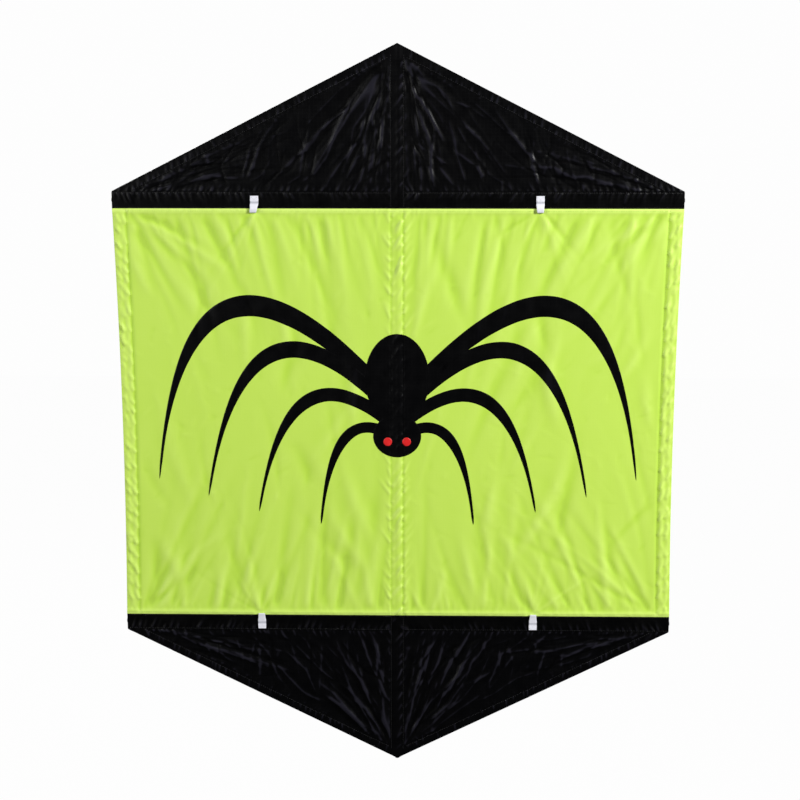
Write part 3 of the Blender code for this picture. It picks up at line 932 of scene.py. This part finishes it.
def bridle_tape(side, word, level, row, lean):
    """One bridle point: a tape whose two ends are sewn down and whose fold hangs free as a loop."""
    tab_box, loop_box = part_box(f"bridle_tab_{row}_{word}"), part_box(f"bridle_loop_{row}_{word}")
    hinge = Vector(joint(f"bridle_loop_{row}_{word}_hinge")["pos_m"])
    outer = tab_box[1].z if level > 0 else tab_box[0].z
    loop_end = loop_box[0].z if level > 0 else loop_box[1].z
    tab_reach, reach = tab_box[1].z - tab_box[0].z, abs(outer - loop_end)
    layer = (tab_box[1].y - tab_box[0].y) / 2 - 0.02 * MM
    line = tape_line(tab_reach, reach, tab_box, loop_box, layer)
    ahead = np.gradient(line, axis=0)
    ahead /= np.linalg.norm(ahead, axis=1)[:, None]
    normal = np.stack([-ahead[:, 1], ahead[:, 0]], -1)
    half, thin = (tab_box[1].x - tab_box[0].x) / 2, layer / 2
    corner = 0.22 * MM
    nick = corner * 0.3
    across = np.linspace(-half + corner, half - corner, 9)
    ring = [(a, thin) for a in across] + [(half - nick, thin - nick), (half, 0), (half - nick, nick - thin)]
    ring += [(a, -thin) for a in across[::-1]]
    ring += [(nick - half, nick - thin), (-half, 0), (nick - half, thin - nick)]
    ring = np.array(ring)
    free = np.clip(line[:, 1] - tab_reach, 0, None)
    curl = 1 - 0.02 * np.sin(line[:, 1] * 900) - 0.2 * smooth(free / (reach - tab_reach))
    x = side * TAB_X + ring[None, :, 0] * curl[:, None] + (lean * free)[:, None]
    y = line[:, 0, None] + normal[:, 0, None] * ring[None, :, 1]
    z = outer - level * (line[:, 1, None] + normal[:, 1, None] * ring[None, :, 1])
    # painted shade along the tape's fold, where it turns at the tab's end
    bend = np.exp(-(((line[:, 1] - tab_reach + 1 * MM) / (1.6 * MM)) ** 2))
    # the loop's colour made darker towards its free end
    darker_loop_end = 0.35 * smooth((free - 0.45 * (reach - tab_reach)) / (0.4 * (reach - tab_reach)))
    look = np.maximum(0.75 * bend, darker_loop_end)[:, None]
    points = np.stack([x, y, z], -1)
    piece = sheet_mesh(f"bridle_tape_{row}_{word}", points, TAPE_LOOK, close_across=True, rubbed=look)
    remeshed(piece, closed_ends)
    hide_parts(f"bridle_tab_{row}_{word}", f"bridle_loop_{row}_{word}")
    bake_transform(piece)


for (level, row), (side, word) in product(LEVELS, SIDES):
    bridle_tape(side, word, level, row, -0.16 if (side < 0 < level) else 0.02 * side)

# ---- stitches


def row_of(start, end, pitch=3.2 * MM):
    """Stitch centres and directions along a straight row, in X and Z."""
    start, end = np.array(start, float), np.array(end, float)
    length = np.linalg.norm(end - start)
    count = max(1, int(length / pitch))
    share = (np.arange(count) + 0.5) / count
    centres = start + (end - start) * share[:, None]
    return centres, np.broadcast_to((end - start) / length, centres.shape)


def side_row(side, inset):
    """Stitches along a side hem, which follow the sail's curved side."""
    count = int(2 * SEAM / (3.2 * MM))
    z = np.linspace(-SEAM + 3 * MM, SEAM - 3 * MM, count)
    centres = np.stack([side * (side_edge(z) - inset), z], -1)
    ways = np.gradient(centres, axis=0)
    return centres, ways / np.linalg.norm(ways, axis=1)[:, None]


def stitches(name, material, slot, rows, depth_at, facing, size=0.17 * MM, reach=2.3 * MM):
    """Short threads that dip into the cloth at both ends, in rows. Facing is -1 at the front and 1 behind."""
    centres = np.concatenate([row[0] for row in rows])
    ways = np.concatenate([row[1] for row in rows])
    stations = np.array([-0.5, -0.28, 0.28, 0.5]) * reach
    girth = np.array([0.35, 1.0, 1.0, 0.35]) * size
    height = np.array([-0.10, 0.10, 0.10, -0.10]) * MM
    angles = np.linspace(0, 2 * math.pi, 5, endpoint=False)
    spots = centres[:, None, :] + ways[:, None, :] * stations[None, :, None]
    depth = depth_at(spots[..., 0], spots[..., 1]) + facing * height[None, :]
    beside = np.stack([-ways[:, 1], ways[:, 0]], -1)
    swing = girth[None, :, None] * np.cos(angles)[None, None, :]
    x = spots[..., 0, None] + beside[:, None, None, 0] * swing
    z = spots[..., 1, None] + beside[:, None, None, 1] * swing
    y = depth[..., None] + girth[None, :, None] * np.sin(angles)[None, None, :]
    ring = np.arange(5)
    beyond = (ring + 1) % 5
    low = [5 * k for k in range(3)]
    quads = np.concatenate([np.stack([k + ring, k + beyond, k + 5 + beyond, k + 5 + ring], -1) for k in low])
    starts = np.arange(len(centres))[:, None, None] * 20
    faces = (quads[None] + starts).reshape(-1, 4).tolist()
    faces += (np.array([[4, 3, 2, 1, 0], [15, 16, 17, 18, 19]])[None] + starts).reshape(-1, 5).tolist()
    return settle(new_piece(name, np.stack([x, y, z], -1), faces, material), slot)


def in_front(x, z):
    return SHEET_Y - stands(x, z)


def behind(base):
    return lambda x, z: base + 0.35 * MM - BACK_FOLLOWS * stands(x, z)


def sew():
    lime, black, lime_back, black_back, spine_back, sleeve_back = [], [], [], [], [], []
    gap = 2 * MM
    cross = 20 * MM
    drop = (SLANT_HEM - 1.6 * MM) * EDGE_LENGTH
    top, near, below = SLEEVE_TOP - 1.2 * MM, SEAM + 1.3 * MM, SEAM - 3.4 * MM
    for side in (-1, 1):
        row = side * SPINE_ROW
        lime.append(row_of((row, -SEAM + gap), (row, SEAM - gap)))
        spine_back.append(row_of((row, -SEAM + cross), (row, SEAM - cross)))
        lime.append(side_row(side, SIDE_HEM - 2 * MM))
        lime_back.append(side_row(side, SIDE_HEM - 2 * MM))
        for level in (-1, 1):

            def level_row(inner, outer, z, side=side, level=level):
                return row_of((side * inner, level * z), (side * outer, level * z))

            black.append(row_of((row, level * (SEAM + gap)), (row, level * (NOSE - 14 * MM))))
            black.append(level_row(SPINE_ROW + gap, HALF_WIDTH - gap, top))
            black.append(level_row(gap, HALF_WIDTH - gap, near))
            lime.append(level_row(gap, HALF_WIDTH - SIDE_HEM, below))
            hem_row = [(side * x, level * (slant_edge(x) - drop)) for x in (HALF_WIDTH - 26 * MM, 12 * MM)]
            black.append(row_of(*hem_row))
            black_back.append(row_of(*hem_row))
            sleeve_back.append(level_row(42 * MM, 364 * MM, top))
            sleeve_back.append(level_row(42 * MM, 364 * MM, near))
    stitches("stitches_lime_front", LIME_THREAD, "lime_ripstop", lime, in_front, -1)
    stitches("stitches_black_front", BLACK_THREAD, "black_ripstop", black, in_front, -1)
    stitches("stitches_side_hems_back", LIME_THREAD, "lime_ripstop", lime_back, behind(HEM_Y), 1)
    stitches("stitches_slanted_hems_back", BLACK_THREAD, "black_ripstop", black_back, behind(HEM_Y), 1)
    stitches("stitches_spine_back", LIME_THREAD, "lime_ripstop", spine_back, behind(OVER_HEM_Y), 1)
    stitches("stitches_sleeves_back", BLACK_THREAD, "black_ripstop", sleeve_back, behind(HEM_Y), 1)
    boxes = []
    inset = 1.4 * MM
    for (_, row), (_, word) in product(LEVELS, SIDES):
        low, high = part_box(f"bridle_tab_{row}_{word}")
        a, b = (low.x + inset, low.z + inset), (high.x - inset, low.z + inset)
        c, d = (high.x - inset, high.z - inset), (low.x + inset, high.z - inset)
        boxes += [row_of(p, q, 2.0 * MM) for p, q in ((a, b), (b, c), (c, d), (d, a), (a, c), (b, d))]
    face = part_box("bridle_tab_upper_left")[0].y
    sizes = (0.16 * MM, 1.5 * MM)
    stitches("stitches_bridle_tabs", WHITE_THREAD, "white_tape", boxes, lambda x, z: face + 0 * x, -1, *sizes)


sew()

# ---- the figure on the sail


def bend(root, knee, foot, count):
    """A smooth arch from root over knee to foot."""
    t = np.linspace(0, 1, count)[:, None]
    root, knee, foot = (np.array(p) * MM for p in (root, knee, foot))
    lift = 2 * knee - (root + foot) / 2
    return (1 - t) ** 2 * root + 2 * t * (1 - t) * lift + t**2 * foot


def weld(shape):
    """Joins points that lie on each other, at a pointed end, a centre or where a ring closes."""
    bmesh.ops.remove_doubles(shape, verts=shape.verts, dist=0.001 * MM)


def patch(name, spots, out, layer, material):
    """A thin piece sewn flat on the sail. Spots are rows of X and Z, and out is 1 at its rim and 0 inside."""
    x, z = spots[..., 0], spots[..., 1]
    for end, facing in (("", -1), ("_back", 1)):
        depth = on_sail(x, z) + facing * (layer - 0.16 * MM * out)
        points = np.stack([x, depth, z], -1)
        look = material if facing < 0 else SHOW_THROUGH
        # a weaker painted highlight and painted shade on the patch, from the sail's relief
        painted_light_on_patch = 0.4 * sampled(crests, x, z)[:, :: -facing]
        piece = sheet_mesh(name + end, points[:, :: -facing], look, crest=painted_light_on_patch, double=0.0)
        remeshed(piece, weld)
        settle(piece, "black_ripstop")


def leg(name, side, points, widths):
    """One tapering leg: its width at the root, the knee and the foot."""
    line = bend(*points, 170)
    line[:, 0] *= side
    way = np.gradient(line, axis=0)
    way /= np.linalg.norm(way, axis=1)[:, None]
    beside = np.stack([-way[:, 1], way[:, 0]], -1)
    t = np.linspace(0, 1, len(line))
    root, knee, foot = widths
    bent = 0.42  # the share of the leg above its knee
    upper = root + (knee - root) * smooth(t / bent)
    lower = knee + (foot - knee) * smooth((t - bent) / (1 - bent))
    half = np.where(t < bent, upper, lower) * MM / 2 * np.sqrt(np.clip((1 - t) / 0.03, 0, 1))
    across = np.array([-1, -0.97, -0.8, -0.6, -0.4, -0.2, 0, 0.2, 0.4, 0.6, 0.8, 0.97, 1])
    spots = line[:, None, :] + beside[:, None, :] * (half[:, None] * across[None, :])[..., None]
    if side < 0:
        spots = spots[:, ::-1]
    patch(name, spots, (np.abs(across) > 0.99).astype(float)[None, :], 0.30 * MM, BLACK)


def disc(name, centre, radii, layer, material):
    """An oval patch."""
    ring = np.linspace(0, 2 * math.pi, 145)
    reach = np.append(np.linspace(0.0, 0.985, int(max(radii) / 0.9)), 1.0)
    x = centre[0] * MM + radii[0] * MM * reach[:, None] * np.cos(ring)
    z = centre[1] * MM + radii[1] * MM * reach[:, None] * np.sin(ring)
    patch(name, np.stack([x, z], -1), (reach > 0.99).astype(float)[:, None], layer, material)


def figure():
    """A plain eight-legged pictogram: an oval body, a round head, two dots and arched legs."""
    legs = (
        ((6, 22), (226, 150), (330, -88), (20, 29, 3)),
        ((4, 6), (170, 88), (262, -112), (18, 23, 3)),
        ((4, -12), (124, 22), (192, -134), (17, 19, 3)),
        ((4, -28), (72, -30), (106, -152), (15, 15, 3)),
    )
    for (number, (*points, widths)), (side, word) in product(enumerate(legs, 1), SIDES):
        leg(f"figure_leg_{number}_{word}", side, points, widths)
    disc("figure_body", (0, 54), (44, 62), 0.44 * MM, BLACK)
    disc("figure_head", (0, -26), (33, 30), 0.44 * MM, BLACK)
    for side, word in SIDES:
        disc(f"figure_dot_{word}", (side * 13, -34), (6, 6), 0.56 * MM, RED)


figure()

# ---- the frame's own parts


def frame_looks():
    rubber = moulded("cap_vinyl", (0.011, 0.011, 0.012), (0.028, 0.028, 0.03), 0.45, 700)
    nylon = moulded("cross_nylon", (0.018, 0.018, 0.02), (0.04, 0.04, 0.042), 0.5, 1100)
    looks = {
        "spine_rod": fibreglass("fibreglass_upright", "Z"),
        "spreader_rod": fibreglass("fibreglass_level", "X"),
        "spine_cap": rubber,
        "spreader_cap": rubber,
        "cross_connector": nylon,
        "spine_ferrule": brushed_metal("ferrule_aluminium"),
    }
    for (name, node), (start, material) in product(frame["nodes"].items(), looks.items()):
        if name.startswith(start):
            for place in node.material_slots:
                place.material = material


frame_looks()

# ---- stage, light and camera

VIEW_FROM, VIEW_ABOVE = math.radians(1.1), math.radians(11.1)
VIEW_DISTANCE = 2.0
AIM = Vector((3.9 * MM, 0, 24.6 * MM))


def camera():
    data = bpy.data.cameras.new("camera")
    data.sensor_width = 36
    data.lens = 65.7
    eye = bpy.data.objects.new("camera", data)
    bpy.context.scene.collection.objects.link(eye)
    back = Vector((
        math.sin(VIEW_FROM) * math.cos(VIEW_ABOVE),
        -math.cos(VIEW_FROM) * math.cos(VIEW_ABOVE),
        math.sin(VIEW_ABOVE),
    ))
    eye.location = AIM + back * VIEW_DISTANCE
    eye.rotation_euler = back.to_track_quat("Z", "Y").to_euler()
    bpy.context.scene.camera = eye


def lamp(name, place, size, watts):
    data = bpy.data.lights.new(name, "AREA")
    data.shape = "RECTANGLE"
    data.size = data.size_y = size
    data.energy = watts
    light = bpy.data.objects.new(name, data)
    light.location = place
    light.rotation_euler = Vector(place).to_track_quat("Z", "Y").to_euler()
    bpy.context.scene.collection.objects.link(light)


def shown_brighter(tree, light, shown):
    """A brightness that is light where it lights the kite and shown where the backdrop itself is seen."""
    path = tree.nodes.new("ShaderNodeLightPath")
    strength = tree.nodes.new("ShaderNodeMapRange")
    strength.inputs["To Min"].default_value = light
    strength.inputs["To Max"].default_value = shown
    tree.links.new(path.outputs["Is Camera Ray"], strength.inputs["Value"])
    return strength.outputs["Result"]


def studio():
    world = bpy.data.worlds.new("studio")
    bpy.context.scene.world = world
    world.use_nodes = True
    tree = world.node_tree
    tree.nodes["Background"].inputs["Color"].default_value = (0.985, 0.985, 0.985, 1)
    tree.links.new(shown_brighter(tree, 0.08, 1.0), tree.nodes["Background"].inputs["Strength"])
    lamp("key", (2.8, -1.9, 1.3), 1.1, 186)
    lamp("fill", (-2.3, -1.9, 0.6), 1.8, 52)
    lamp("back", (-1.2, 2.4, 1.3), 1.4, 100)
    corners = np.array([[(-6, -6, 0), (6, -6, 0)], [(-6, 6, 0), (6, 6, 0)]], float)
    pale = Look("pale_floor", (0.006, 0.006, 0.006), 0.9, 0.0, 0.0)
    room_below = 0.52  # the lower half of the spine leaves downward
    floor = sheet_mesh("floor", corners + (0, 0, cad_box[0][2] - room_below), pale.material)
    pale.inputs["Emission Color"].default_value = (1, 1, 1, 1)
    pale.link(shown_brighter(pale.tree, 0.04, 0.979), pale.inputs["Emission Strength"])
    bpy.context.scene.view_settings.view_transform = "Standard"


camera()
studio()
